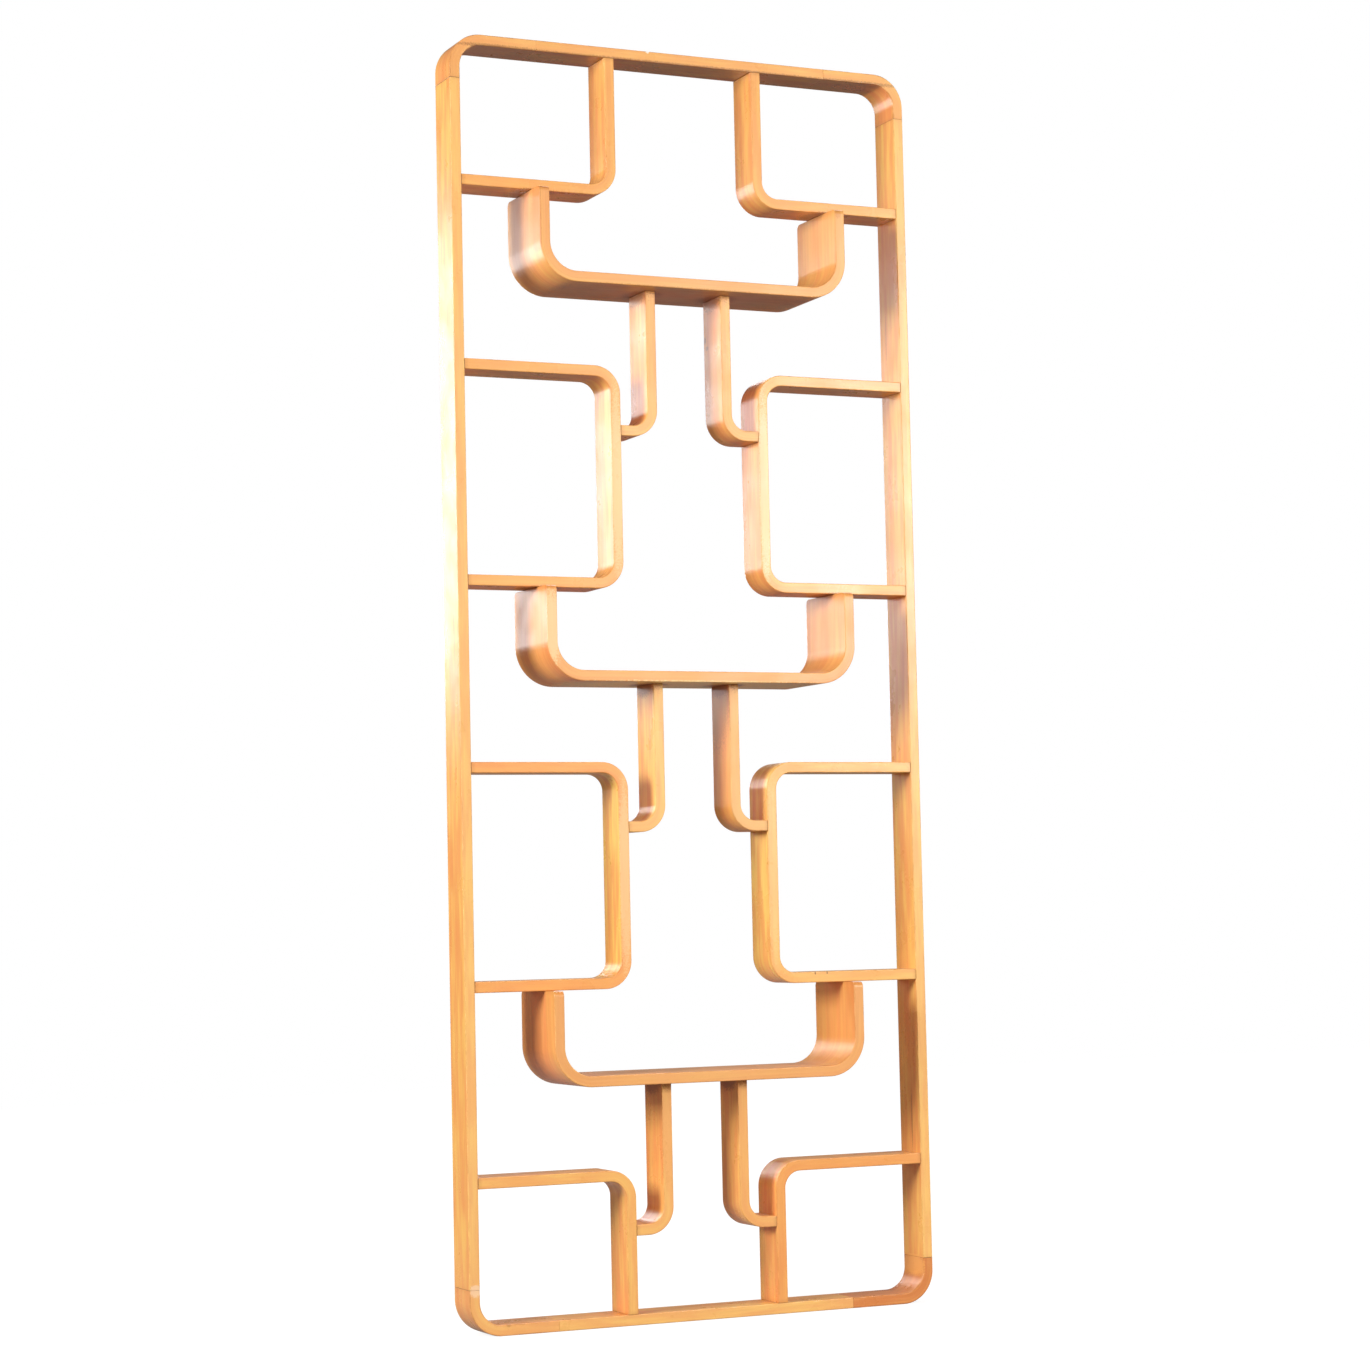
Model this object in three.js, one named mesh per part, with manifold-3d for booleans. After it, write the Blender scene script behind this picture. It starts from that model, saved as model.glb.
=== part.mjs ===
// A see-through room divider of bent laminated wood. A tall frame with round corners holds
// brackets, loops, shelf trays and hooks, all bent from strips of one thickness.
// Millimetres, +Z up, the front towards -Y. The origin is on the floor below the middle.

import * as THREE from 'three';
import { mergeVertices } from 'three/addons/utils/BufferGeometryUtils.js';
import Module from 'manifold-3d';

const wasm = await Module();
wasm.setup();

// Strips
const stock = 18; // thickness of every strip
const frameDepth = 70; // front to back, for the frame, brackets, loops and hooks
const trayDepth = 146; // front to back, for the trays
const easedEdge = 1.5; // small bevel along the front and back edges

// Frame
const overallWidth = 850;
const frameBend = 56; // outer radius of the four corners
const cornerStileLeg = 76; // from the top or bottom face to the joint with the stile
const cornerRailLeg = 155; // from the side face to the joint with the rail

// Filling, from the top down: bracket, bay, loop, bay, loop, low bay, bracket
const bracketHeight = 255;
const bayHeight = 290;
const loopHeight = 376;
const lowBayHeight = 298;
const centreBay = 257; // clear width between the left and right loops
const loopBend = 46.5; // outer radius of the brackets and loops

// Trays
const trayWidth = 568;
const trayHeight = 158;
const trayBend = 66;
const armCornerRadius = 9; // rounding of the arms' upper corners, front and back

// Hooks
const hookHeight = 249;
const hookFoot = 67.5; // from the hook's upright face to the end of its foot
const hookBend = 45.5;

// Joints
const glueLine = 0.2; // gap between two glued faces
const dowelDiameter = 8;
const dowelInEnd = 18; // dowel length in the strip that ends at the joint
const blindWall = 6; // wood left behind a dowel hole in a face
const dowelChamfer = 1;
const tongueThickness = 6;
const tongueDepth = 46;
const tongueLength = 14;
const clearance = 0.3; // round each dowel and tongue, and past its end
const cutOverrun = 5; // how far a cutting shape passes the wood

// Fineness of the round stretches
const bendSteps = 10;
const dowelSides = 12;

// Places that follow from the sizes
const overallHeight = 2 * bracketHeight + 2 * bayHeight + 2 * loopHeight + lowBayHeight;
const stileInside = overallWidth / 2 - stock;
const memberFace = centreBay / 2; // side of the loops and brackets that faces the middle
const legRun = stileInside - memberFace - glueLine;
const upperLoopTop = overallHeight - bracketHeight - bayHeight;
const lowerLoopTop = upperLoopTop - loopHeight - bayHeight;
const loopTops = { upper: upperLoopTop, lower: lowerLoopTop };
const carrierUndersides = {
  upper: overallHeight - bracketHeight,
  middle: upperLoopTop - loopHeight,
  lower: lowerLoopTop - loopHeight,
};
// Middles of the six legs that meet each stile, from the top down
const legLevels = [
  carrierUndersides.upper + stock / 2,
  upperLoopTop - stock / 2,
  carrierUndersides.middle + stock / 2,
  lowerLoopTop - stock / 2,
  carrierUndersides.lower + stock / 2,
  bracketHeight - stock / 2,
];
const armMiddle = trayWidth / 2 - stock / 2;
const hookFace = memberFace - hookFoot;
const hookMiddle = hookFace + stock / 2;
const dowelInFace = stock - blindWall - clearance;
const stileBase = cornerStileLeg + glueLine;
const stileLength = overallHeight - 2 * stileBase;
const railStart = -overallWidth / 2 + cornerRailLeg + glueLine;
const railLength = -2 * railStart;
const upward = new THREE.Vector3(0, 1, 0);
const downward = new THREE.Vector3(0, -1, 0);
const outward = new THREE.Vector3(1, 0, 0);

const at = (x, y) => new THREE.Vector2(x, y);
const trayUnderside = (level) => carrierUndersides[level] - trayHeight;
const hookFootUnderside = (level) => trayUnderside(level) - hookHeight;

// The woods: one laminate, a little paler or deeper from piece to piece
function wood(color, roughness) {
  return new THREE.MeshStandardMaterial({ color, roughness, metalness: 0 });
}
const stileWood = () => wood(0xf0b47a, 0.34);
const railWood = () => wood(0xe3a15c, 0.38);
const cornerWood = () => wood(0xd98f4c, 0.36);
const bracketWood = () => wood(0xe8a765, 0.36);
const loopWood = () => wood(0xe6a563, 0.36);
const trayWood = () => wood(0xd8996a, 0.34);
const hookWood = () => wood(0xe2a05f, 0.38);
const dowelWood = () => wood(0xc9a878, 0.7);

// A closed three.js mesh as a solid that can be cut and joined, and back again
function toSolid(geometry) {
  const bare = geometry.clone();
  bare.deleteAttribute('normal');
  bare.deleteAttribute('uv');
  const merged = mergeVertices(bare);
  const vertProperties = Float32Array.from(merged.attributes.position.array);
  const triVerts = Uint32Array.from(merged.index.array);
  return new wasm.Manifold(new wasm.Mesh({ numProp: 3, vertProperties, triVerts }));
}

function toGeometry(solid) {
  const mesh = solid.getMesh();
  const geometry = new THREE.BufferGeometry();
  geometry.setAttribute('position', new THREE.BufferAttribute(mesh.vertProperties, 3));
  geometry.setIndex(new THREE.BufferAttribute(mesh.triVerts, 1));
  geometry.computeVertexNormals();
  return geometry;
}

function shapeWood(geometry, cutters, additions = []) {
  let solid = toSolid(geometry);
  for (const addition of additions) solid = solid.add(toSolid(addition));
  for (const cutter of cutters) solid = solid.subtract(toSolid(cutter));
  return toGeometry(solid);
}

// The outline of a strip seen from the front. The corners are those of its outer face, in
// counter-clockwise order, so every bend turns left and the wood lies on the left.
// A bend is never larger than the legs beside it.
function stripOutline(corners, wantedBend) {
  const headings = corners.slice(1).map((corner, i) => corner.clone().sub(corners[i]));
  const runs = headings.map((heading) => heading.length());
  headings.forEach((heading) => heading.normalize());
  const freeRuns = runs.map((run, i) => (i > 0 && i < runs.length - 1 ? run / 2 : run));
  const bend = Math.min(wantedBend, ...freeRuns);
  const leftOf = (heading) => at(-heading.y * stock, heading.x * stock);
  const outer = [corners[0]];
  const inner = [corners[0].clone().add(leftOf(headings[0]))];
  for (let i = 1; i < corners.length - 1; i += 1) {
    const before = headings[i - 1];
    const after = headings[i];
    const centre = corners[i].clone().addScaledVector(before, -bend).addScaledVector(after, bend);
    for (let step = 0; step <= bendSteps; step += 1) {
      const turn = (step / bendSteps) * (Math.PI / 2);
      const spoke = after.clone().multiplyScalar(-Math.cos(turn));
      spoke.addScaledVector(before, Math.sin(turn));
      outer.push(centre.clone().addScaledVector(spoke, bend));
      inner.push(centre.clone().addScaledVector(spoke, bend - stock));
    }
  }
  const last = corners[corners.length - 1];
  outer.push(last);
  inner.push(last.clone().add(leftOf(headings[headings.length - 1])));
  return [...outer, ...inner.reverse()];
}

// A bent strip with eased front and back edges, centred on the middle of its depth
function bentStrip(corners, bend, depth) {
  const shape = new THREE.Shape(stripOutline(corners, bend));
  const geometry = new THREE.ExtrudeGeometry(shape, {
    depth: depth - 2 * easedEdge,
    bevelEnabled: true,
    bevelThickness: easedEdge,
    bevelSize: easedEdge,
    bevelOffset: -easedEdge,
    bevelSegments: 1,
  });
  return geometry.translate(0, 0, easedEdge - depth / 2);
}

// A dowel hole about the middle of a joint face, pointing from the strip that ends there
// into the face of the other. The same shape cuts both strips.
function dowelHole(x, y, direction) {
  const radius = dowelDiameter / 2 + clearance;
  const length = dowelInEnd + dowelInFace + 2 * clearance;
  const hole = new THREE.CylinderGeometry(radius, radius, length, dowelSides);
  hole.translate(0, (dowelInFace - dowelInEnd) / 2, 0);
  hole.applyQuaternion(new THREE.Quaternion().setFromUnitVectors(upward, direction));
  return hole.translate(x, y, 0);
}

function dowel(name, x, y, direction) {
  const radius = dowelDiameter / 2;
  const profile = [
    at(0, -dowelInEnd),
    at(radius - dowelChamfer, -dowelInEnd),
    at(radius, dowelChamfer - dowelInEnd),
    at(radius, dowelInFace - dowelChamfer),
    at(radius - dowelChamfer, dowelInFace),
    at(0, dowelInFace),
  ];
  const mesh = new THREE.Mesh(new THREE.LatheGeometry(profile, dowelSides), dowelWood());
  mesh.name = name;
  mesh.position.set(x, y, 0);
  mesh.quaternion.setFromUnitVectors(upward, direction);
  return mesh;
}

// The hidden tongue on each end of a corner piece, centred on the joint face. With room
// round it, it is the slot in the stile or rail.
function tongue(x, y, direction, room) {
  const box = new THREE.BoxGeometry(
    tongueThickness + 2 * room,
    2 * (tongueLength + room),
    tongueDepth + 2 * room,
  );
  box.applyQuaternion(new THREE.Quaternion().setFromUnitVectors(upward, direction));
  return box.translate(x, y, 0);
}

function place(name, geometry, material, x, y, turn = 0) {
  const mesh = new THREE.Mesh(geometry, material);
  mesh.name = name;
  mesh.position.set(x, y, 0);
  mesh.rotation.z = turn;
  return mesh;
}

// A strip with one bend, drawn about its outer corner: one leg goes up, the other right
function elbow(rise, run, bend) {
  return bentStrip([at(0, rise), at(0, 0), at(run, 0)], bend, frameDepth);
}

// Frame
function stile(name) {
  const straight = bentStrip([at(0, 0), at(0, stileLength)], 0, frameDepth);
  const holes = legLevels.map((level) => dowelHole(-stock, level - stileBase, outward));
  const slots = [0, stileLength].map((end) => tongue(-stock / 2, end, upward, clearance));
  const geometry = shapeWood(straight, [...holes, ...slots]);
  return place(name, geometry, stileWood(), overallWidth / 2, stileBase);
}

function rail(name, height, turn) {
  const straight = bentStrip([at(0, 0), at(railLength, 0)], 0, frameDepth);
  const bracketPlaces = [-1, 1].map((side) => side * (memberFace + stock / 2) - railStart);
  const holes = bracketPlaces.map((along) => dowelHole(along, stock, downward));
  const slots = [0, railLength].map((end) => tongue(end, stock / 2, outward, clearance));
  const geometry = shapeWood(straight, [...holes, ...slots]);
  const start = turn === 0 ? railStart : -railStart;
  return place(name, geometry, railWood(), start, height, turn);
}

function cornerPiece(name, rise, run, height, turn) {
  const tongues = [
    tongue(stock / 2, rise, upward, 0),
    tongue(run, stock / 2, outward, 0),
  ];
  const geometry = shapeWood(elbow(rise, run, frameBend), [], tongues);
  return place(name, geometry, cornerWood(), overallWidth / 2, height, turn);
}

// Brackets: the upright leg meets a rail, the level leg a stile
const bracketRise = bracketHeight - stock - glueLine;

function topBracket(name) {
  const holes = [
    dowelHole(stock / 2, bracketRise, upward),
    dowelHole(legRun, stock / 2, outward),
    dowelHole(armMiddle - memberFace, 0, upward),
  ];
  const geometry = shapeWood(elbow(bracketRise, legRun, loopBend), holes);
  return place(name, geometry, bracketWood(), memberFace, carrierUndersides.upper);
}

// The bottom bracket is drawn lying on its side and turned a quarter turn
function bottomBracket(name) {
  const footDrop = bracketHeight - hookFootUnderside('lower') - stock / 2;
  const holes = [
    dowelHole(stock / 2, legRun, upward),
    dowelHole(bracketRise, stock / 2, outward),
    dowelHole(footDrop, 0, upward),
  ];
  const geometry = shapeWood(elbow(legRun, bracketRise, loopBend), holes);
  return place(name, geometry, bracketWood(), memberFace, bracketHeight, -Math.PI / 2);
}

// Loops: both legs meet a stile. Drawn about the lower corner that faces the middle.
// The foot of the hook above ends on the loop's upright, and the next tray hangs below.
function loop(name, level, hookLevel) {
  const corners = [at(legRun, loopHeight), at(0, loopHeight), at(0, 0), at(legRun, 0)];
  const underside = loopTops[level] - loopHeight;
  const footMiddle = hookFootUnderside(hookLevel) + stock / 2 - underside;
  const holes = [
    dowelHole(legRun, loopHeight - stock / 2, outward),
    dowelHole(legRun, stock / 2, outward),
    dowelHole(armMiddle - memberFace, 0, upward),
    dowelHole(0, footMiddle, outward),
  ];
  const geometry = shapeWood(bentStrip(corners, loopBend, frameDepth), holes);
  return place(name, geometry, loopWood(), memberFace, underside);
}

// Trays: U-shaped, with both arms under the legs of a bracket or loop. Where an arm stands
// past the leg, its upper corner is rounded.
function armCornerCutter(side) {
  const half = trayDepth / 2;
  const top = trayHeight - glueLine;
  const outline = [at(half - armCornerRadius, top + cutOverrun)];
  for (let step = 0; step <= bendSteps; step += 1) {
    const turn = (step / bendSteps) * (Math.PI / 2);
    const across = half - armCornerRadius + armCornerRadius * Math.sin(turn);
    outline.push(at(across, top - armCornerRadius + armCornerRadius * Math.cos(turn)));
  }
  outline.push(at(half + cutOverrun, top - armCornerRadius));
  outline.push(at(half + cutOverrun, top + cutOverrun));
  const width = trayWidth + 2 * cutOverrun;
  const cutter = new THREE.ExtrudeGeometry(new THREE.Shape(outline), {
    depth: width,
    bevelEnabled: false,
  });
  cutter.translate(0, 0, -width / 2);
  return cutter.rotateY((-side * Math.PI) / 2);
}

function tray(name, level) {
  const half = trayWidth / 2;
  const top = trayHeight - glueLine;
  const corners = [at(-half, top), at(-half, 0), at(half, 0), at(half, top)];
  const holes = [-1, 1].flatMap((side) => [
    dowelHole(side * armMiddle, top, upward),
    dowelHole(side * hookMiddle, 0, upward),
  ]);
  const roundings = [-1, 1].map(armCornerCutter);
  const geometry = shapeWood(bentStrip(corners, trayBend, trayDepth), [...holes, ...roundings]);
  return place(name, geometry, trayWood(), 0, trayUnderside(level));
}

// Hooks: the upright leg meets a tray, the foot a loop or a bottom bracket
function hook(name, level) {
  const rise = hookHeight - glueLine;
  const run = hookFoot - glueLine;
  const holes = [
    dowelHole(stock / 2, rise, upward),
    dowelHole(run, stock / 2, outward),
  ];
  const geometry = shapeWood(elbow(rise, run, hookBend), holes);
  return place(name, geometry, hookWood(), hookFace, hookFootUnderside(level));
}

// Dowels of one half
function halfDowels(side) {
  const uprightMiddle = memberFace + stock / 2;
  const pins = [
    dowel(`dowel_rail_top_${side}`, uprightMiddle, overallHeight - stock, upward),
    dowel(`dowel_rail_bottom_${side}`, uprightMiddle, stock, downward),
  ];
  legLevels.forEach((level, i) => {
    pins.push(dowel(`dowel_stile_${i + 1}_${side}`, stileInside, level, outward));
  });
  for (const level of Object.keys(carrierUndersides)) {
    const carrier = carrierUndersides[level];
    const underTray = trayUnderside(level);
    const footMiddle = hookFootUnderside(level) + stock / 2;
    pins.push(dowel(`dowel_tray_${level}_${side}`, armMiddle, carrier, upward));
    pins.push(dowel(`dowel_hook_${level}_${side}`, hookMiddle, underTray, upward));
    pins.push(dowel(`dowel_foot_${level}_${side}`, memberFace, footMiddle, outward));
  }
  return pins;
}

// The right half as seen from the front, drawn upright. The left half is the same, turned
// half round about the upright middle line, since every piece is alike front and back.
function halfOfScreen(side) {
  const half = new THREE.Group();
  half.add(stile(`stile_${side}`));
  half.add(
    cornerPiece(`corner_top_${side}`, cornerStileLeg, cornerRailLeg, overallHeight, Math.PI),
    cornerPiece(`corner_bottom_${side}`, cornerRailLeg, cornerStileLeg, 0, Math.PI / 2),
    topBracket(`bracket_top_${side}`),
    bottomBracket(`bracket_bottom_${side}`),
    loop(`loop_upper_${side}`, 'upper', 'upper'),
    loop(`loop_lower_${side}`, 'lower', 'middle'),
  );
  for (const level of Object.keys(carrierUndersides)) {
    half.add(hook(`hook_${level}_${side}`, level));
  }
  half.add(...halfDowels(side));
  half.rotation.y = side === 'left' ? Math.PI : 0;
  return half;
}

// The whole screen is drawn in an upright plane, then stood up
const roomDivider = new THREE.Group();
roomDivider.rotation.x = Math.PI / 2;
roomDivider.add(halfOfScreen('right'), halfOfScreen('left'));
roomDivider.add(rail('rail_top', overallHeight, Math.PI), rail('rail_bottom', 0, 0));
for (const level of Object.keys(carrierUndersides)) {
  roomDivider.add(tray(`tray_${level}`, level));
}

export default roomDivider;
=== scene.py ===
# A see-through room divider of bent laminated wood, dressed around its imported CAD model.
# Metres, +Z up, the front towards -Y, the origin on the floor below the middle.
import math

import bpy
import numpy as np
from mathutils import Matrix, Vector


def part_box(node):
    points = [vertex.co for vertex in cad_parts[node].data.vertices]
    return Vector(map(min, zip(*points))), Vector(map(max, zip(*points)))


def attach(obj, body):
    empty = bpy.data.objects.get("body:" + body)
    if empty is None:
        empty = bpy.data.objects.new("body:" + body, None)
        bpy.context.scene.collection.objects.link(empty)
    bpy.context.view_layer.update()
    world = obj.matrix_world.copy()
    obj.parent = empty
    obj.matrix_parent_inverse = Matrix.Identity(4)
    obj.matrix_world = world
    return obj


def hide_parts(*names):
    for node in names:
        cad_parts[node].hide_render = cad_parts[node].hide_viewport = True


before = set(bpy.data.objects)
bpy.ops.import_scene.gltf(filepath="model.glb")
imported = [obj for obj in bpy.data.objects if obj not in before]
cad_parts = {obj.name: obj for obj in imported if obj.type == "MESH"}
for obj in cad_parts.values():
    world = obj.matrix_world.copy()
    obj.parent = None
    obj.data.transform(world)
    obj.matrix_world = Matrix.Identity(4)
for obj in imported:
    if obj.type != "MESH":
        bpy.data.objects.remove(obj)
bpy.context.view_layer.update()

scene = bpy.context.scene
millimetre = 0.001
quarterTurn = math.pi / 2


# Sizes and levels that several pieces share, taken from the frame

stileLow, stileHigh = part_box("stile_right")
railLow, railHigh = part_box("rail_top")
loopLow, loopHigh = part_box("loop_upper_right")
trayLow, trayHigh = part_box("tray_upper")
stock = stileHigh.x - stileLow.x
glueGap = stileLow.x - loopHigh.x
stileInner, frameFront = stileLow.x, stileLow.y
lowJoint, highJoint = stileLow.z - glueGap, stileHigh.z + glueGap   # where stiles and corners meet
sideJoint = railHigh.x + glueGap                                    # where rails and corners meet
middleHeight = (stileLow.z + stileHigh.z) / 2
armMiddle = trayHigh.x - stock / 2
loopMiddle = loopLow.x + stock / 2
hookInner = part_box("hook_upper_right")[0].x
trayUnders = [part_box(f"tray_{level}")[0].z for level in ("upper", "middle", "lower")]


# Camera and lamps

cameraSetup = {
    "place": (-2.2603, -4.9121, 0.6770),
    "turn": (94.069, 1.221, -24.580),  # degrees
    "lens": 83.93,                     # millimetres
    "sensor": 36.0,                    # millimetres wide
}

lampSetup = {
    # name: place, point it faces, width and height, watts, whether the lacquer mirrors it
    "frontRightPanel": ((3.15, -4.9, 2.05), (0.0, 0.0, 1.1), (1.4, 1.5), 138, True),
    "rightPanel": ((4.4, -4.0, 2.0), (0.0, 0.0, 1.1), (1.5, 1.5), 178, False),
    "leftPanel": ((-4.6, -1.17, 2.15), (0.0, 0.0, 1.0), (1.5, 1.4), 250, True),
    "frontLeftPanel": ((-1.2, -5.5, 1.4), (0.0, 0.0, 0.8), (2.0, 1.4), 50, True),
    "rearLeftPanel": ((-1.5, 2.8, 1.86), (-0.3, 0.0, 1.37), (0.7, 1.18), 21, True),
    "rearTopPanel": ((1.8, 3.4, 4.0), (0.0, 0.0, 1.0), (1.8, 1.6), 55, True),
    "rearPanel": ((0.3, 5.5, 1.7), (0.0, 0.0, 1.1), (2.0, 0.8), 75, True),
}


def placeCamera():
    data = bpy.data.cameras.new("viewCamera")
    data.sensor_width = cameraSetup["sensor"]
    data.lens = cameraSetup["lens"]
    camera = bpy.data.objects.new("viewCamera", data)
    camera.location = cameraSetup["place"]
    camera.rotation_euler = [math.radians(angle) for angle in cameraSetup["turn"]]
    scene.collection.objects.link(camera)
    scene.camera = camera


def placeLamps():
    for name, (place, target, (width, height), watts, mirrored) in lampSetup.items():
        data = bpy.data.lights.new(name, "AREA")
        data.shape = "RECTANGLE"
        data.size = width
        data.size_y = height
        data.energy = watts
        lamp = bpy.data.objects.new(name, data)
        lamp.location = place
        aim = Vector(target) - Vector(place)
        lamp.rotation_euler = aim.to_track_quat("-Z", "Y").to_euler()
        lamp.visible_glossy = mirrored
        scene.collection.objects.link(lamp)


# Small helpers for node trees

def addNode(tree, kind, **settings):
    node = tree.nodes.new(kind)
    for key, value in settings.items():
        setattr(node, key, value)
    return node


def feed(tree, socket, value):
    # a socket takes another socket's output, or a plain value
    if isinstance(value, bpy.types.NodeSocket):
        tree.links.new(value, socket)
    else:
        socket.default_value = value


def calc(tree, operation, first, second=None, third=None, clamp=False):
    node = addNode(tree, "ShaderNodeMath", operation=operation, use_clamp=clamp)
    for socket, value in zip(node.inputs, (first, second, third)):
        if value is not None:
            feed(tree, socket, value)
    return node.outputs[0]


def calcVector(tree, operation, first, second=None, scale=None):
    node = addNode(tree, "ShaderNodeVectorMath", operation=operation)
    feed(tree, node.inputs[0], first)
    if second is not None:
        feed(tree, node.inputs[1], second)
    if scale is not None:
        feed(tree, node.inputs["Scale"], scale)
    return node.outputs["Value" if operation == "LENGTH" else "Vector"]


def remap(tree, value, low, high, toLow=0.0, toHigh=1.0, smooth=True):
    node = addNode(tree, "ShaderNodeMapRange")
    node.interpolation_type = "SMOOTHSTEP" if smooth else "LINEAR"
    for name, given in zip(("Value", "From Min", "From Max", "To Min", "To Max"),
                           (value, low, high, toLow, toHigh)):
        feed(tree, node.inputs[name], given)
    return node.outputs["Result"]


def joinVector(tree, x, y, z):
    node = addNode(tree, "ShaderNodeCombineXYZ")
    for socket, value in zip(node.inputs, (x, y, z)):
        feed(tree, socket, value)
    return node.outputs[0]


def splitVector(tree, vector):
    node = addNode(tree, "ShaderNodeSeparateXYZ")
    feed(tree, node.inputs[0], vector)
    return node.outputs


def stretched(tree, parts, scales):
    return joinVector(tree, *[calc(tree, "MULTIPLY", part, scale) for part, scale in zip(parts, scales)])


def noise(tree, vector, detail=2.0, roughness=0.5, distortion=0.0):
    node = addNode(tree, "ShaderNodeTexNoise")
    node.inputs["Scale"].default_value = 1.0
    node.inputs["Detail"].default_value = detail
    node.inputs["Roughness"].default_value = roughness
    node.inputs["Distortion"].default_value = distortion
    feed(tree, node.inputs["Vector"], vector)
    return node.outputs["Fac"]


def opaque(colour):
    return (*colour, 1.0)


def blendColour(tree, factor, first, second):
    node = addNode(tree, "ShaderNodeMix", data_type="RGBA")
    colours = [socket for socket in node.inputs if socket.type == "RGBA"]
    feed(tree, node.inputs["Factor"], factor)
    feed(tree, colours[0], first)
    feed(tree, colours[1], second)
    return next(socket for socket in node.outputs if socket.type == "RGBA")


# a layer covers the colour below it by its mask times its strength
def layColours(tree, colour, layers):
    for mask, strength, cover in layers:
        colour = blendColour(tree, calc(tree, "MULTIPLY", mask, strength), colour, opaque(cover))
    return colour


def newGroup(name, inputs, outputs):
    tree = bpy.data.node_groups.new(name, "ShaderNodeTree")
    for socketName, kind in inputs.items():
        tree.interface.new_socket(socketName, in_out="INPUT", socket_type=kind)
    for socketName, kind in outputs.items():
        tree.interface.new_socket(socketName, in_out="OUTPUT", socket_type=kind)
    return tree, addNode(tree, "NodeGroupInput").outputs, addNode(tree, "NodeGroupOutput").inputs


def useGroup(tree, group, **values):
    node = addNode(tree, "ShaderNodeGroup", node_tree=group)
    for key, value in values.items():
        feed(tree, node.inputs[key], value)
    return node.outputs


def newMaterial(name):
    material = bpy.data.materials.new(name)
    material.use_nodes = True
    tree = material.node_tree
    point = addNode(tree, "ShaderNodeTexCoord").outputs["Object"]
    return material, tree, tree.nodes["Principled BSDF"], point


def addRelief(tree, shader, height, strength):
    bump = addNode(tree, "ShaderNodeBump")
    bump.inputs["Strength"].default_value = strength
    bump.inputs["Distance"].default_value = finishSetup["reliefHeight"]
    feed(tree, bump.inputs["Height"], height)
    feed(tree, shader.inputs["Normal"], bump.outputs["Normal"])


numberKind = "NodeSocketFloat"
vectorKind = "NodeSocketVector"


# Shared surface effects. "Place" is where a point lies in its strip: along the strip, from
# front to back, and through the thickness, all measured from the strip's own middle line.
# Scales are per metre in those three directions, and a range is the stretch of a noise that
# becomes 0 to 1.

grainSetup = {
    "seedShift": 3.7,                   # metres along the grain from one seed to the next
    "driftScale": 1.7,
    "driftReach": 0.022,                # metres
    "fineDetail": 5,
    "fineRoughness": 0.62,
    "figureScale": (1.5, 19.0, 60.0),
    "figureDistortion": 0.35,
    "figureRange": (0.3, 0.7),
    "arches": 58.0,                     # radians of waves over the whole figure
    "archShare": 0.28,                  # the rest of the grain is fine lines
    "grainRange": (0.28, 0.72),
    "veneer": 1.5 * millimetre,
    "patterns": {
        # long soft patches, a few dark streaks and short flecks: scale, detail, roughness, range
        "Patches": ((9.0, 80.0, 80.0), 2, 0.55, (0.34, 0.66)),
        "Streaks": ((9.0, 330.0, 330.0), 2, 0.6, (0.52, 0.8)),
        "Flecks": ((170.0, 1500.0, 1500.0), 1, 0.5, (0.66, 0.74)),
    },
}


def makeGrainGroup():
    tree, given, out = newGroup(
        "stripGrain",
        {"Place": vectorKind, "Seed": numberKind, "LineWidth": numberKind, "LineLength": numberKind},
        {"Grain": numberKind, "Figure": numberKind, "Patches": numberKind, "Streaks": numberKind,
         "Flecks": numberKind, "Plies": numberKind})
    along, depth, ply = splitVector(tree, given["Place"])
    shifted = calc(tree, "MULTIPLY_ADD", given["Seed"], grainSetup["seedShift"], along)
    # the lines drift slowly to one side and back, so they never run dead parallel
    slow = joinVector(tree, calc(tree, "MULTIPLY", shifted, grainSetup["driftScale"]), given["Seed"], 0.0)
    drifted = calc(tree, "MULTIPLY_ADD", noise(tree, slow), grainSetup["driftReach"], depth)
    lines = joinVector(tree, calc(tree, "DIVIDE", shifted, given["LineLength"]),
                       calc(tree, "DIVIDE", drifted, given["LineWidth"]),
                       calc(tree, "DIVIDE", ply, given["LineWidth"]))
    fine = noise(tree, lines, detail=grainSetup["fineDetail"], roughness=grainSetup["fineRoughness"])
    # broad figure: level lines of a long, slow noise make the arches of sliced veneer
    spot = (shifted, drifted, ply)
    figure = noise(tree, stretched(tree, spot, grainSetup["figureScale"]),
                   distortion=grainSetup["figureDistortion"])
    wave = calc(tree, "SINE", calc(tree, "MULTIPLY", figure, grainSetup["arches"]))
    arches = remap(tree, wave, -1.0, 1.0, smooth=False)
    archShare = grainSetup["archShare"]
    grain = calc(tree, "ADD", calc(tree, "MULTIPLY", fine, 1 - archShare),
                 calc(tree, "MULTIPLY", arches, archShare))
    feed(tree, out["Grain"], remap(tree, grain, *grainSetup["grainRange"]))
    feed(tree, out["Figure"], remap(tree, figure, *grainSetup["figureRange"]))
    for name, (scale, detail, roughness, limits) in grainSetup["patterns"].items():
        pattern = noise(tree, stretched(tree, spot, scale), detail=detail, roughness=roughness)
        feed(tree, out[name], remap(tree, pattern, *limits))
    # each veneer of the laminate has its own tone
    veneer = calc(tree, "FLOOR", calc(tree, "DIVIDE", ply, grainSetup["veneer"]))
    veneerTone = addNode(tree, "ShaderNodeTexWhiteNoise", noise_dimensions="2D")
    feed(tree, veneerTone.inputs["Vector"], joinVector(tree, veneer, given["Seed"], 0.0))
    feed(tree, out["Plies"], veneerTone.outputs["Value"])
    return tree


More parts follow.
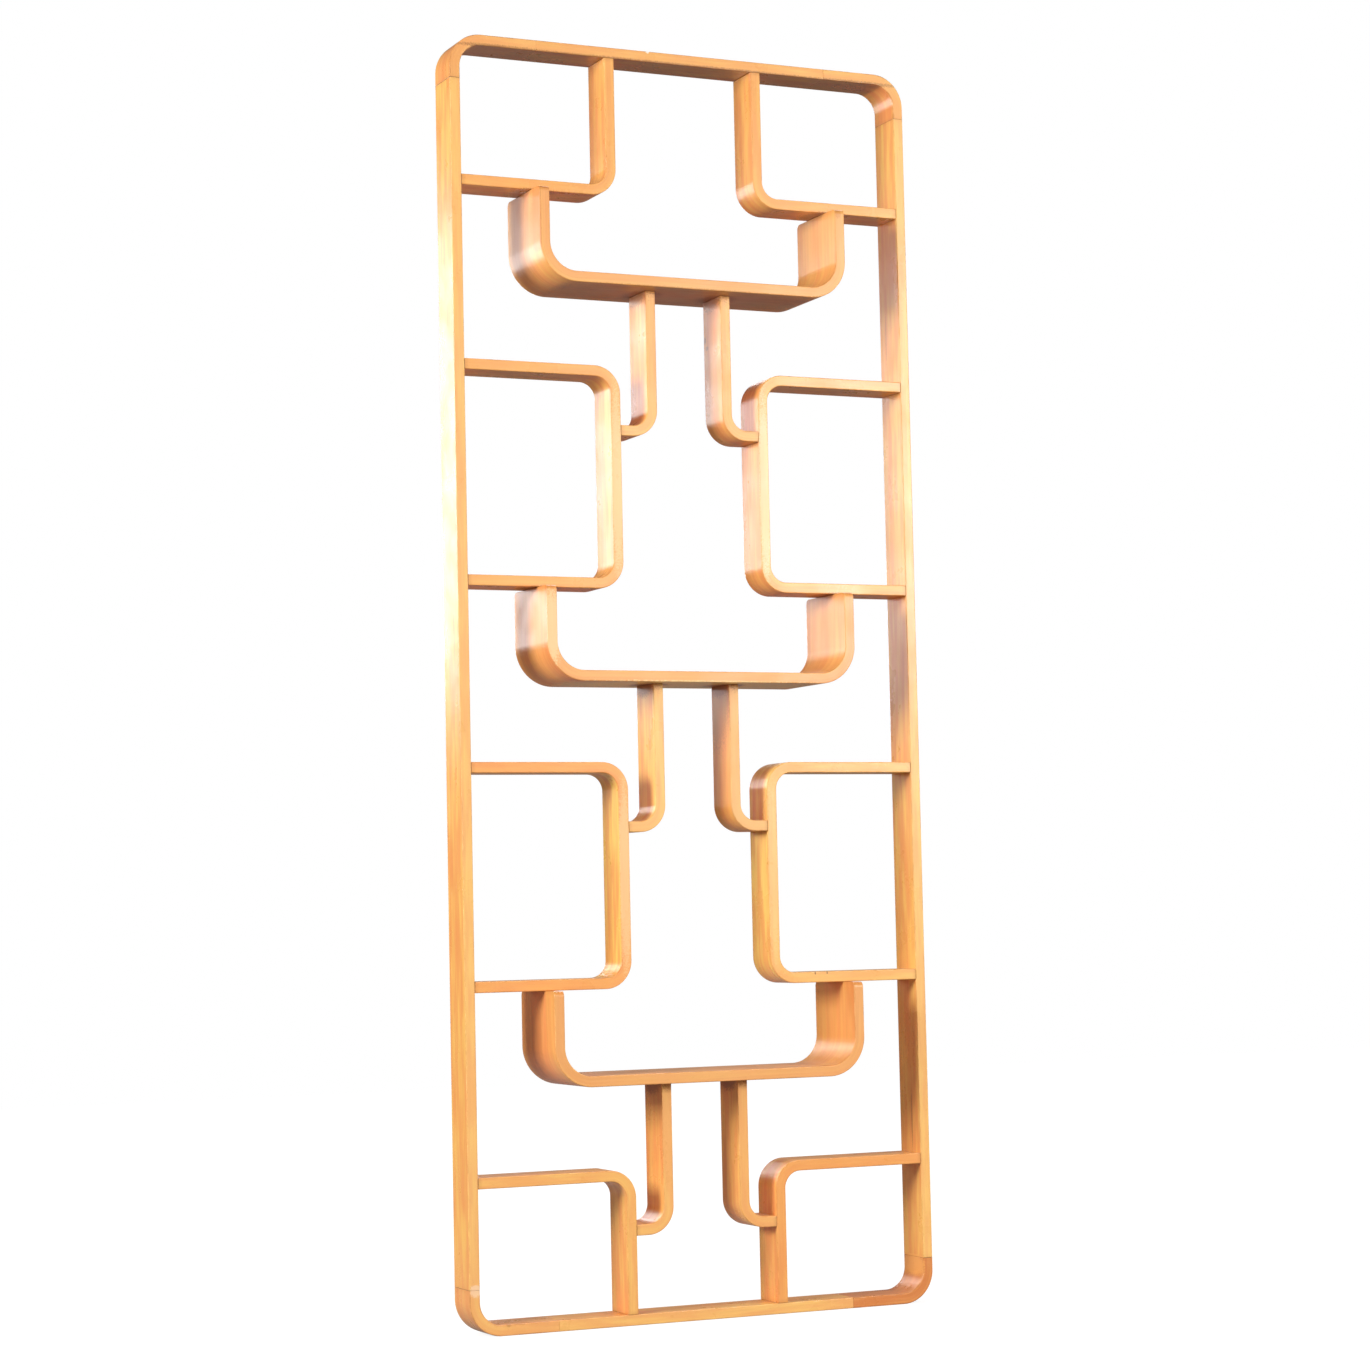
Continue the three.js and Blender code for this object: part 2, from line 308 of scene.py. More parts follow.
edgeSetup = {
    "patchScale": (30.0, 60.0, 90.0),
    "patchDetail": 4,
    "patchRoughness": 0.65,
    "reachRange": (0.45, 0.75),
    "wearReach": (0.4 * millimetre, 2.2 * millimetre),
    "wearRange": (0.42, 0.6),
    "seamBand": (1.2 * millimetre, 2.4 * millimetre),     # the seam fades out between these
    "seamRange": (0.6, 0.4),                              # where there is little wear
    "narrowBand": (0.2 * millimetre, 2.4 * millimetre),   # the narrow faces' tone fades out here
}


# Wear and a dark seam along the four eased edges, from the distance to the nearest one
def makeEdgeGroup():
    tree, given, out = newGroup(
        "edgeWear",
        {"Place": vectorKind, "HalfDepth": numberKind, "HalfStock": numberKind, "Seed": numberKind},
        {"Wear": numberKind, "Seam": numberKind, "Narrow": numberKind})
    along, depth, ply = splitVector(tree, given["Place"])
    fromFront = calc(tree, "SUBTRACT", given["HalfDepth"], calc(tree, "ABSOLUTE", depth))
    fromFace = calc(tree, "SUBTRACT", given["HalfStock"], calc(tree, "ABSOLUTE", ply))
    distance = calc(tree, "MAXIMUM", fromFront, fromFace)
    alongScale, depthScale, plyScale = edgeSetup["patchScale"]
    spot = joinVector(tree, calc(tree, "MULTIPLY_ADD", along, alongScale, given["Seed"]),
                      calc(tree, "MULTIPLY", depth, depthScale), calc(tree, "MULTIPLY", ply, plyScale))
    patches = noise(tree, spot, detail=edgeSetup["patchDetail"], roughness=edgeSetup["patchRoughness"])
    reach = remap(tree, patches, *edgeSetup["reachRange"], *edgeSetup["wearReach"])
    wear = calc(tree, "SUBTRACT", 1.0, calc(tree, "DIVIDE", distance, reach), clamp=True)
    feed(tree, out["Wear"], calc(tree, "MULTIPLY", wear, remap(tree, patches, *edgeSetup["wearRange"])))
    near = remap(tree, distance, *edgeSetup["seamBand"], 1.0, 0.0)
    feed(tree, out["Seam"], calc(tree, "MULTIPLY", near, remap(tree, patches, *edgeSetup["seamRange"])))
    feed(tree, out["Narrow"], remap(tree, fromFront, *edgeSetup["narrowBand"], 1.0, 0.0))
    return tree


jointSetup = {
    "ragScale": 140.0,
    "ragDetail": 3,
    "ragRange": (0.3, 0.7),
    "lineReach": (0.5 * millimetre, 1.3 * millimetre),
    "shadeReach": 9 * millimetre,
}


# A dark, uneven line at the glued ends, and a soft brown painted shade that fades from it
def makeJointGroup():
    tree, given, out = newGroup(
        "gluedEnd", {"Ends": vectorKind, "Place": vectorKind}, {"Line": numberKind, "Shade": numberKind})
    fromStart, fromEnd, seed = splitVector(tree, given["Ends"])
    nearest = calc(tree, "MINIMUM", fromStart, fromEnd)
    depth, ply = splitVector(tree, given["Place"])[1:]
    spot = joinVector(tree, seed, calc(tree, "MULTIPLY", depth, jointSetup["ragScale"]),
                      calc(tree, "MULTIPLY", ply, jointSetup["ragScale"]))
    ragged = noise(tree, spot, detail=jointSetup["ragDetail"])
    reach = remap(tree, ragged, *jointSetup["ragRange"], *jointSetup["lineReach"])
    line = calc(tree, "SUBTRACT", 1.0, calc(tree, "DIVIDE", nearest, reach), clamp=True)
    feed(tree, out["Line"], line)
    feed(tree, out["Shade"], remap(tree, nearest, 0.0, jointSetup["shadeReach"], 1.0, 0.0))
    return tree


lacquerSetup = {
    # name: scale, detail
    "patterns": {"Smudge": (14.0, 4), "Ripple": (75.0, 2), "Dust": (900.0, 1)},
    "roughness": 0.6,
    "smudgeRange": (0.35, 0.7),
    "dustRange": (0.68, 0.76),
}


# Smudges, brush ripple and dust of a hand-applied lacquer
def makeLacquerGroup():
    tree, given, out = newGroup(
        "lacquerFilm", {"Point": vectorKind, "Seed": numberKind},
        {"Smudge": numberKind, "Ripple": numberKind, "Dust": numberKind})
    moved = calcVector(tree, "ADD", given["Point"], joinVector(tree, given["Seed"], 0.0, given["Seed"]))
    patterns = {
        name: noise(tree, calcVector(tree, "SCALE", moved, scale=scale), detail=detail,
                    roughness=lacquerSetup["roughness"])
        for name, (scale, detail) in lacquerSetup["patterns"].items()}
    feed(tree, out["Smudge"], remap(tree, patterns["Smudge"], *lacquerSetup["smudgeRange"]))
    feed(tree, out["Ripple"], patterns["Ripple"])
    feed(tree, out["Dust"], remap(tree, patterns["Dust"], *lacquerSetup["dustRange"]))
    return tree


markSetup = {
    "rimScale": 420.0,
    "rimDetail": 2,
    "rimDepth": 0.9,        # how far the rim's noise moves it, in reaches
    "fade": (1.0, 1.5),     # the mark fades out between these, in reaches
}


# One small mark: 1 inside an oval about its centre, with a ragged rim
def makeMarkGroup():
    tree, given, out = newGroup(
        "smallMark",
        {"Point": vectorKind, "Centre": vectorKind, "Reach": vectorKind},
        {"Mark": numberKind})
    offset = calcVector(tree, "SUBTRACT", given["Point"], given["Centre"])
    away = calcVector(tree, "LENGTH", calcVector(tree, "DIVIDE", offset, given["Reach"]))
    fineSpot = calcVector(tree, "SCALE", given["Point"], scale=markSetup["rimScale"])
    ragged = noise(tree, fineSpot, detail=markSetup["rimDetail"])
    rim = calc(tree, "MULTIPLY_ADD", ragged, markSetup["rimDepth"], away)
    feed(tree, out["Mark"], remap(tree, rim, *markSetup["fade"], 1.0, 0.0))
    return tree


grainGroup = makeGrainGroup()
edgeGroup = makeEdgeGroup()
jointGroup = makeJointGroup()
lacquerGroup = makeLacquerGroup()
markGroup = makeMarkGroup()


# Lacquered wood of a strip. The look comes from the dictionary of the piece.

finishSetup = {
    "ior": 1.5,
    "specular": 0.4,
    "dust": 0.12,
    "dustColour": (0.8, 0.78, 0.74),
    "cleanRough": -0.05,    # added to a look's roughness where the lacquer is clean, smudged,
    "smudgedRough": 0.06,   # worn away and run over with glue
    "wornRough": 0.18,
    "gluedRough": 0.25,
    "relief": 0.35,
    "reliefHeight": 0.1 * millimetre,
    "grainRelief": -0.5,    # shares of the relief's height, sunk where less than zero
    "fleckRelief": -0.6,
    "rippleRelief": 0.8,
    "glueRelief": -2.0,
}


def woodColour(tree, look, point, grain, edge, joint, film):
    veneerEdges = calc(tree, "MULTIPLY", grain["Plies"], edge["Narrow"])
    layers = [
        (grain["Grain"], look["lines"], look["deep"]),
        (grain["Figure"], look["figure"], look["warm"]),
        (grain["Patches"], look["patches"], look["blush"]),
        (grain["Streaks"], look["streaks"], look["dark"]),
        (veneerEdges, look["plies"], look["deep"]),
        (edge["Narrow"], look["edgeShare"], look["edgeTone"]),
        (grain["Flecks"], look["flecks"], look["dark"]),
        (edge["Seam"], look["seam"], look["dark"]),
        (edge["Wear"], look["wear"], look["worn"]),
        # painted shade beside the glued ends
        (joint["Shade"], look["endShade"], look["dark"]),
        (joint["Line"], look["endLine"], look["glue"]),
    ]
    for centre, reach, markColour, strength in look["marks"]:
        mask = useGroup(tree, markGroup, Point=point, Centre=centre, Reach=reach)["Mark"]
        layers.append((mask, strength, markColour))
    layers.append((film["Dust"], finishSetup["dust"], finishSetup["dustColour"]))
    return layColours(tree, opaque(look["pale"]), layers)


def filmRoughness(tree, look, edge, joint, film):
    rough = remap(tree, film["Smudge"], 0.0, 1.0, look["rough"] + finishSetup["cleanRough"],
                  look["rough"] + finishSetup["smudgedRough"], smooth=False)
    rough = calc(tree, "MULTIPLY_ADD", edge["Wear"], finishSetup["wornRough"], rough)
    return calc(tree, "MULTIPLY_ADD", joint["Line"], finishSetup["gluedRough"], rough, clamp=True)


def woodRelief(tree, grain, joint, film):
    relief = calc(tree, "MULTIPLY", grain["Grain"], finishSetup["grainRelief"])
    relief = calc(tree, "MULTIPLY_ADD", grain["Flecks"], finishSetup["fleckRelief"], relief)
    relief = calc(tree, "MULTIPLY_ADD", film["Ripple"], finishSetup["rippleRelief"], relief)
    return calc(tree, "MULTIPLY_ADD", joint["Line"], finishSetup["glueRelief"], relief)


def lacqueredWood(name, look, halfDepth, halfStock):
    material, tree, shader, point = newMaterial(name)
    place = addNode(tree, "ShaderNodeAttribute", attribute_name="place").outputs["Vector"]
    ends = addNode(tree, "ShaderNodeAttribute", attribute_name="ends").outputs["Vector"]
    seed = splitVector(tree, ends)[2]
    grain = useGroup(tree, grainGroup, Place=place, Seed=seed,
                     LineWidth=look["lineWidth"], LineLength=look["lineLength"])
    edge = useGroup(tree, edgeGroup, Place=place, HalfDepth=halfDepth, HalfStock=halfStock, Seed=seed)
    joint = useGroup(tree, jointGroup, Ends=ends, Place=place)
    film = useGroup(tree, lacquerGroup, Point=point, Seed=seed)

    feed(tree, shader.inputs["Base Color"], woodColour(tree, look, point, grain, edge, joint, film))
    feed(tree, shader.inputs["Roughness"], filmRoughness(tree, look, edge, joint, film))
    shader.inputs["IOR"].default_value = finishSetup["ior"]
    shader.inputs["Specular IOR Level"].default_value = finishSetup["specular"]
    # the clear coat is gone where the edges are worn
    coat = calc(tree, "MULTIPLY_ADD", edge["Wear"], -look["coat"], look["coat"])
    feed(tree, shader.inputs["Coat Weight"], coat)
    shader.inputs["Coat Roughness"].default_value = look["coatRough"]
    addRelief(tree, shader, woodRelief(tree, grain, joint, film), finishSetup["relief"])
    return material


# Strips. The four corners of a node's box, seen from the front, are tl, tr, br and bl. A
# strip's route runs along its outer face, turns left at each bend, and has the wood on its left.

stripShape = {
    "edgeRadius": 1.6 * millimetre,   # rounding of the long edges
    "endEasing": 0.4 * millimetre,    # rounding of the sawn ends
    "bendSteps": 36,
    "edgeSteps": 4,
    "roundingSteps": 8,
    "decimals": 7,                    # stations that agree to this many, in metres, become one
    "farAway": 1.0,                   # metres, given as the distance to an end that isn't seen
}


def routePoints(node, route):
    low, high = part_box(node)
    corners = {"tl": (low.x, high.z), "tr": (high.x, high.z), "br": (high.x, low.z), "bl": (low.x, low.z)}
    return np.array([corners[name] for name in route.split()])


# A corner piece's box includes its hidden tongues, so its ends are taken from its neighbours
def trimToJoints(corners):
    trimmed = corners.copy()
    for end in (0, -1):
        x, z = corners[end]
        if abs(x) > stileInner:
            trimmed[end, 1] = highJoint if z > middleHeight else lowJoint
        else:
            trimmed[end, 0] = math.copysign(sideJoint, x)
    return trimmed


def mergedStations(*parts):
    return np.unique(np.round(np.concatenate(parts), stripShape["decimals"]))


# The path of a strip's outer face: straight runs joined by quarter circles. A point of a
# quarter circle is its centre plus the radius times a spoke that turns from one heading to
# the next. Gives points, sideways directions into the wood, headings and middle-line lengths.
def stripPath(corners, bend, endStations):
    runs = corners[1:] - corners[:-1]
    lengths = np.linalg.norm(runs, axis=1)
    headings = runs / lengths[:, None]
    last = len(lengths) - 1
    points, inward, forward, along = [], [], [], []
    travelled = 0.0
    for run, (start, heading, length) in enumerate(zip(corners[:-1], headings, lengths)):
        left = np.array([-heading[1], heading[0]])
        begin = bend if run > 0 else 0.0
        finish = length - (bend if run < last else 0.0)
        stations = mergedStations(endStations if run == 0 else [begin],
                                  finish - endStations if run == last else [finish])
        points.append(start + stations[:, None] * heading)
        inward.append(np.repeat(left[None], len(stations), 0))
        forward.append(np.repeat(heading[None], len(stations), 0))
        along.append(travelled + stations - begin)
        travelled += finish - begin
        if run < last:
            following = headings[run + 1]
            turn = np.linspace(0, quarterTurn, stripShape["bendSteps"] + 1)[1:-1, None]
            centre = corners[run + 1] - bend * heading + bend * following
            spoke = -following * np.cos(turn) + heading * np.sin(turn)
            points.append(centre + bend * spoke)
            inward.append(-spoke)
            forward.append(following * np.sin(turn) + heading * np.cos(turn))
            along.append(travelled + (bend - stock / 2) * turn[:, 0])
            travelled += (bend - stock / 2) * quarterTurn
    return [np.concatenate(part) for part in (points, inward, forward, along)], travelled


# A rounded rectangle: four quarter circles of points, each about its own corner centre.
# Gives the signs of the centres (through the thickness, front to back) and the directions.
def roundedRectangle():
    steps = stripShape["edgeSteps"]
    angle = np.linspace(0, quarterTurn, steps + 1)
    angles = np.concatenate([angle + quarter * quarterTurn for quarter in range(4)])
    signs = np.repeat([(1, 1), (-1, 1), (-1, -1), (1, -1)], steps + 1, axis=0)
    return signs, np.stack([np.cos(angles), np.sin(angles)], axis=1)


# How far a quarter-circle rounding has drawn in at a distance from the end, and its lean:
# radius less the root of (radius squared less (radius less distance) squared)
def drawnIn(distance, radius):
    rest = np.clip(radius - distance, 0, radius)
    return radius - np.sqrt(radius ** 2 - rest ** 2), np.arcsin(rest / radius)


# Stations that follow a quarter-circle rounding: radius times (one less the cosine)
def roundingStations(radius, every=1):
    angle = np.linspace(0, quarterTurn, stripShape["roundingSteps"] + 1)[::every]
    return radius * (1 - np.cos(angle))


# A direction in the front view as a direction in space
def inSpace(flat):
    return np.stack([flat[:, 0], 0 * flat[:, 0], flat[:, 1]], axis=1)


# The strip's surface: the rounded rectangle carried along the path, drawn in at both ends.
# Point = path + (half the stock + across) * inward + depth * front-to-back direction.
# Its normals lean towards the end where the surface is drawn in.
def bentSurface(corners, bend, depth, armRounding):
    easing, edge = stripShape["endEasing"], stripShape["edgeRadius"]
    rounding = max(armRounding, easing)
    stations = mergedStations(roundingStations(rounding), roundingStations(easing, every=2))
    (points, inward, forward, along), total = stripPath(corners, bend, stations)
    fromEnd = np.minimum(along, total - along)
    outSign = np.where(along < total / 2, -1.0, 1.0)
    allIn, allLean = drawnIn(fromEnd, easing)
    depthIn, depthLean = drawnIn(fromEnd, rounding) if armRounding else (0 * fromEnd, 0 * fromEnd)

    signs, directions = roundedRectangle()
    radius = edge - allIn[:, None]
    across = signs[:, 0] * (stock / 2 - edge) + radius * directions[:, 0]
    deep = signs[:, 1] * (depth / 2 - edge - depthIn[:, None]) + radius * directions[:, 1]
    path, inward, forward = inSpace(points), inSpace(inward), inSpace(forward)
    rearward = np.array([0.0, 1.0, 0.0])
    surface = path[:, None] + (stock / 2 + across)[..., None] * inward[:, None]
    surface = surface + deep[..., None] * rearward

    flat = directions[None, :, :1] * inward[:, None] + directions[None, :, 1:] * rearward
    lean = np.maximum(allLean[:, None], depthLean[:, None] * np.abs(directions[:, 1]))
    endwise = (outSign[:, None] * np.sin(lean))[..., None] * forward[:, None]
    normals = flat * np.cos(lean)[..., None] + endwise
    normals /= np.linalg.norm(normals, axis=2, keepdims=True)
    place = np.stack([np.repeat(along[:, None], across.shape[1], 1), deep, across], axis=-1)
    return surface, normals, forward, place, total


# Quads between neighbouring rings of points, whose last point joins the first
def ringQuads(rings, sides):
    ring, side = np.meshgrid(np.arange(rings - 1), np.arange(sides), indexing="ij")
    nextSide = (side + 1) % sides
    return np.stack([ring * sides + side, (ring + 1) * sides + side,
                     (ring + 1) * sides + nextSide, ring * sides + nextSide], axis=-1).reshape(-1, 4)


def bentStrip(name, corners, bend, depth, seed, armRounding, faintEnd):
    surface, normals, forward, place, total = bentSurface(corners, bend, depth, armRounding)
    rings, sides = surface.shape[:2]
    quads = ringQuads(rings, sides)
    startCap = np.arange(sides)
    endCap = (rings - 1) * sides + startCap[::-1]
    mesh = bpy.data.meshes.new(name)
    mesh.from_pydata(surface.reshape(-1, 3).tolist(), [],
                     quads.tolist() + [startCap.tolist(), endCap.tolist()])
    mesh.shade_smooth()

    # an end whose joint can't be seen is given as far away, so that no line is drawn there
    along = place[..., 0]
    fromStart = along + (stripShape["farAway"] if faintEnd == "start" else 0.0)
    fromFinish = total - along + (stripShape["farAway"] if faintEnd == "end" else 0.0)
    ends = np.stack([fromStart, fromFinish, np.full_like(along, seed)], axis=-1)
    for key, values in (("place", place), ("ends", ends)):
        attribute = mesh.attributes.new(key, "FLOAT_VECTOR", "POINT")
        attribute.data.foreach_set("vector", values.astype(np.float32).ravel())
    sideNormals = normals.reshape(-1, 3)[quads.ravel()]
    capNormals = [np.repeat(-forward[:1], sides, 0), np.repeat(forward[-1:], sides, 0)]
    mesh.normals_split_custom_set(np.concatenate([sideNormals, *capNormals]).tolist())
    piece = bpy.data.objects.new(name, mesh)
    scene.collection.objects.link(piece)
    return piece


# The looks. A mark is its centre, its reach each way, its colour and its strength. Each kind
# of strip has a look of its own, and some of its pieces differ from it.

baseLook = {
    "pale": (0.89, 0.42, 0.108),
    "deep": (0.79, 0.315, 0.070),
    "warm": (0.95, 0.57, 0.130),
    "blush": (0.80, 0.245, 0.070),
    "dark": (0.34, 0.11, 0.022),
    "worn": (0.95, 0.56, 0.25),
    "glue": (0.15, 0.055, 0.018),
    "lineWidth": 1.9 * millimetre,
    "lineLength": 0.2,
    "lines": 0.8,
    "figure": 0.5,
    "patches": 0.6,
    "streaks": 0.15,
    "plies": 0.22,
    "edgeTone": (0.90, 0.55, 0.215),   # the narrow faces, where the laminate shows its layers
    "edgeShare": 0.35,
    "flecks": 0.15,
    "endLine": 0.5,
    "endShade": 0.22,
    "seam": 0.18,
    "wear": 0.4,
    "rough": 0.32,
    "coat": 0.13,
    "coatRough": 0.25,
    "marks": [],
}

markTones = {
    "rub": (0.96, 0.66, 0.42),
    "stileTone": (0.88, 0.40, 0.10),
    "underside": (0.14, 0.045, 0.014),
    # painted shade under the frame's top and the trays, and painted shadow under the legs
    "shadow": (0.12, 0.035, 0.01),
    "tick": (0.22, 0.08, 0.025),
    "hookTopShade": (0.36, 0.11, 0.016),
# painted shade at the hooks' tops
}


# Painted shade under the frame's top
def paintedUndersideShade(x, reach, height):
    return ((x, 0.0, railLow.z), (reach, 0.08, height), markTones["underside"], 0.5)


# Painted shadow under the legs that carry a tray, around its arms
def paintedLegShadows(z):
    return [((side * armMiddle, 0.0, z), (0.045, 0.060, 0.004), markTones["shadow"], 0.6)
            for side in (-1, 1)]


# Painted shade on the hooks' tops and on the trays' undersides around them
def paintedHookShade(height):
    hookMiddle = hookInner + stock / 2
    return [((side * hookMiddle, 0.004, top), (0.040, 0.045, height), markTones["hookTopShade"], 0.8)
            for side in (-1, 1) for top in trayUnders]


stiles = {
    "routes": {"stile_right": "br tr", "stile_left": "tl bl"},
    "bend": 0.0,
    "slot": "stile_wood",
    "firstSeed": 1.0,
    "look": {
        "pale": (0.91, 0.485, 0.115),
        "deep": (0.84, 0.385, 0.09),
        "edgeTone": (0.92, 0.59, 0.235),
        "endShade": 0.08,
        "marks": [
            # long brown streaks on the right stile's inner face
            ((stileInner, 0.0136, 1.678), (0.003, 0.0035, 0.05), (0.45, 0.16, 0.04), 0.45),
            ((stileInner, -0.007, 0.310), (0.003, 0.003, 0.06), (0.40, 0.14, 0.035), 0.6),
            # a pale rub above the left stile's lower joint
            ((-0.415, frameFront, lowJoint + 3 * millimetre), (0.011, 0.003, 0.007),
             markTones["rub"], 0.65),
            # the right stile's lower joint doesn't show on its inner face
            ((stileInner, 0.0, lowJoint + 1 * millimetre), (0.003, 0.05, 0.004),
             markTones["stileTone"], 0.85),
        ],
    },
}

rails = {
    "routes": {"rail_top": "tr tl", "rail_bottom": "bl br"},
    "bend": 0.0,
    "slot": "rail_wood",
    "firstSeed": 11.0,
    "look": {
        "endLine": 0.1,
        "endShade": 0.0,
        "marks": [
            # a small pale chip on the top rail's upper front edge
            ((-0.0655, frameFront, railHigh.z - 1 * millimetre), (0.0035, 0.004, 0.003),
             (0.98, 0.86, 0.72), 0.9),
            # painted shade under the top rail
            paintedUndersideShade(0.0, 0.6, 0.004),
        ],
    },
    "looks": {"rail_bottom": {"pale": (0.92, 0.49, 0.12), "deep": (0.83, 0.37, 0.08)}},
}

cornerPieces = {
    "routes": {"corner_top_right": "br tr tl", "corner_top_left": "tr tl bl",
               "corner_bottom_left": "tl bl br", "corner_bottom_right": "bl br tr"},
    "bend": 56 * millimetre,
    "slot": "corner_wood",
    "firstSeed": 21.0,
    "hasTongues": True,
    "look": {
        "pale": (0.86, 0.36, 0.11),
        "deep": (0.77, 0.28, 0.07),
        "edgeShare": 0.32,
        "endShade": 0.12,
        "seam": 0.4,
        "marks": [
            # a pale rub and a dark nick at the bottom left
            ((-0.415, frameFront, lowJoint - 3 * millimetre), (0.011, 0.003, 0.010),
             markTones["rub"], 0.65),
            ((-0.358, frameFront + 2 * millimetre, 0.017), (0.005, 0.006, 0.004),
             (0.30, 0.10, 0.03), 0.4),
            # painted shade under the top corners
            *[paintedUndersideShade(x, 0.13, 0.005) for x in (-0.33, 0.33)],
        ],
    },
    "faintEnds": {"corner_top_right": "end", "corner_top_left": "start",
                  "corner_bottom_left": "end", "corner_bottom_right": "start"},
    "looks": {
        "corner_top_right": {"endLine": 0.15},
        "corner_bottom_right": {
            "pale": (0.74, 0.29, 0.085),
            "deep": (0.62, 0.21, 0.05),
            "warm": (0.80, 0.37, 0.09),
            "blush": (0.66, 0.20, 0.055),
            "edgeShare": 0.0,
            # its inner face keeps the stile's paler tone down to the bend
            "marks": [((stileInner, 0.0, lowJoint - 14 * millimetre), (0.005, 0.05, 0.024),
                       markTones["stileTone"], 0.85)],
        },
    },
}

brackets = {
    "routes": {"bracket_top_right": "tl bl br", "bracket_top_left": "bl br tr",
               "bracket_bottom_right": "tr tl bl", "bracket_bottom_left": "br tr tl"},
    "bend": 46.5 * millimetre,
    "slot": "bracket_wood",
    "firstSeed": 31.0,
    "look": {
        "pale": (0.88, 0.395, 0.10),
        "deep": (0.78, 0.30, 0.066),
        "edgeTone": (0.89, 0.49, 0.175),
        # painted shadow under the legs around the upper tray's arms
        "marks": paintedLegShadows(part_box("bracket_top_right")[0].z),
    },
    "looks": {
        "bracket_bottom_left": {"pale": (0.90, 0.47, 0.12), "deep": (0.81, 0.36, 0.08)},
        "bracket_bottom_right": {"pale": (0.90, 0.48, 0.12), "deep": (0.81, 0.37, 0.08),
                                 "edgeShare": 0.6, "edgeTone": (0.85, 0.33, 0.10)},
    },
}

loops = {
    "routes": {"loop_upper_right": "tr tl bl br", "loop_lower_right": "tr tl bl br",
               "loop_upper_left": "bl br tr tl", "loop_lower_left": "bl br tr tl"},
    "bend": 46.5 * millimetre,
    "slot": "loop_wood",
    "firstSeed": 41.0,
    "look": {
        "marks": [
            # two dark ticks on the lower right loop's bottom leg
            *[((x, frameFront, z), (0.0016, 0.003, 0.003), markTones["tick"], 0.8)
              for x, z in ((0.2121, 0.5690), (0.2351, 0.5692))],
            # painted shadow under the legs around a tray's arms
            *paintedLegShadows(loopLow.z),
            # painted sheen makes the uprights paler in front than the legs
            *[((side * loopMiddle, frameFront, z), (0.014, 0.003, 0.19), tone, strength)
              for side, z, tone, strength in ((-1, 1.40, (0.97, 0.70, 0.36), 0.5),
                                              (1, 1.40, (0.98, 0.78, 0.46), 0.5),
                                              (-1, 0.74, (0.97, 0.66, 0.34), 0.5),
                                              (1, 0.74, (0.97, 0.66, 0.30), 0.3))],
        ],
    },
    "looks": {
        "loop_upper_left": {"edgeShare": 0.6, "edgeTone": (0.86, 0.42, 0.13)},
        "loop_lower_left": {"pale": (0.95, 0.60, 0.14), "deep": (0.88, 0.49, 0.10),
                            "edgeShare": 0.7, "edgeTone": (0.86, 0.325, 0.10)},
        "loop_lower_right": {"pale": (0.95, 0.64, 0.16), "deep": (0.88, 0.52, 0.115),
                             "edgeShare": 0.6, "edgeTone": (0.89, 0.44, 0.145)},
    },
}

trays = {
    "routes": {f"tray_{level}": "tl bl br tr" for level in ("upper", "middle", "lower")},
    "bend": 66 * millimetre,
    "slot": "tray_wood",
    "firstSeed": 51.0,
    "armRounding": 9 * millimetre,    # of the arms' upper corners
    "look": {
        "pale": (0.86, 0.365, 0.11),
        "deep": (0.75, 0.28, 0.068),
        "coat": 0.17,
        "figure": 0.4,
        "patches": 0.35,
        "edgeShare": 0.25,
        "rough": 0.35,
        "coatRough": 0.31,
        "endLine": 0.0,
        "endShade": 0.2,
        "marks": [
            # a brown patch at the top of the upper tray's right arm
            ((0.272, trayLow.y, 1.876), (0.007, 0.004, 0.010), (0.55, 0.20, 0.05), 0.4),
            # painted shade makes its left arm browner at the front
            ((trayLow.x, -0.062, 1.81), (0.003, 0.040, 0.11), (0.55, 0.17, 0.04), 0.5),
            # painted shade darkens its underside
            ((0.0, 0.0, trayLow.z), (0.3, 0.12, 0.004), markTones["underside"], 0.3),
            # painted shade around the hooks' tops
            *paintedHookShade(0.008),
        ],
    },
    "looks": {
        "tray_lower": {"pale": (0.82, 0.33, 0.095), "deep": (0.71, 0.25, 0.06)},
        "tray_middle": {
            "pale": (0.86, 0.35, 0.10),
            "deep": (0.75, 0.27, 0.065),
            "coat": 0.12,
            "marks": [
                # painted light makes its underside paler, and a painted sheen its left arm's front edge
                ((0.0, 0.0, trayUnders[1]), (0.3, 0.12, 0.004), (0.99, 0.72, 0.33), 0.95),
                ((-armMiddle, trayLow.y, 1.15), (0.02, 0.003, 0.075), (0.97, 0.72, 0.38), 0.55),
                # painted shade around the hooks' tops
                *paintedHookShade(0.008),
            ],
        },
    },
}

